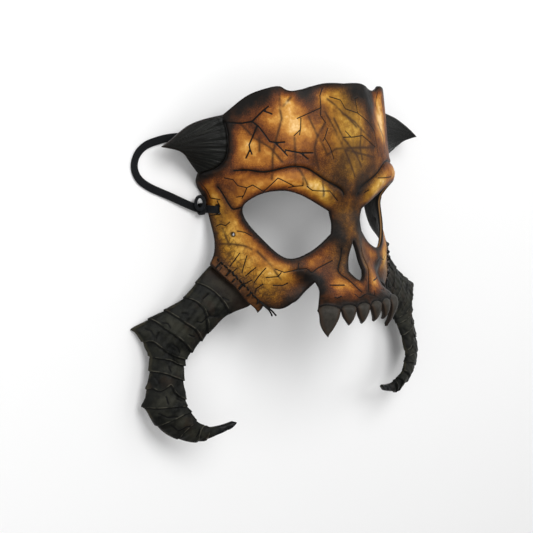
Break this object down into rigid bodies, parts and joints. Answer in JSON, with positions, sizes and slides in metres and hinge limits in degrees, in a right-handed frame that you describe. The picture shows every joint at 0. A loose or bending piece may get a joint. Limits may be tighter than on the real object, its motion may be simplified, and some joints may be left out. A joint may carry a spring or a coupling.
{
  "type": "leather skull half-mask",
  "caption": "Moulded leather skull half-mask with small temple horns, open eyes and nose, toothed upper jaw, two ribbed crescent jaw horns and an elastic strap.",
  "frame": {"origin": "centre of the footprint of the mask lying face up, on the surface it lies on", "axes": "+X to the wearer's left, +Y up the face towards the brow, +Z out of the face"},
  "size_m": [0.3, 0.2594, 0.0929],
  "materials": {
    "face_leather": "satin, amber dye shaded to dark brown and black at edges, creases and cracks",
    "horn_leather": "satin, charcoal black with a little brown",
    "thread": "waxed, black",
    "elastic": "woven flat elastic, black"
  },
  "bodies": {
    "root": {"face_shell": "face_leather", "jaw_horn_left": "horn_leather", "jaw_horn_right": "horn_leather", "seam_thread_left": "thread", "seam_thread_right": "thread", "strap_loop_left": "elastic", "strap_loop_right": "elastic", "elastic_strap": "elastic"}
  },
  "joints": []
}
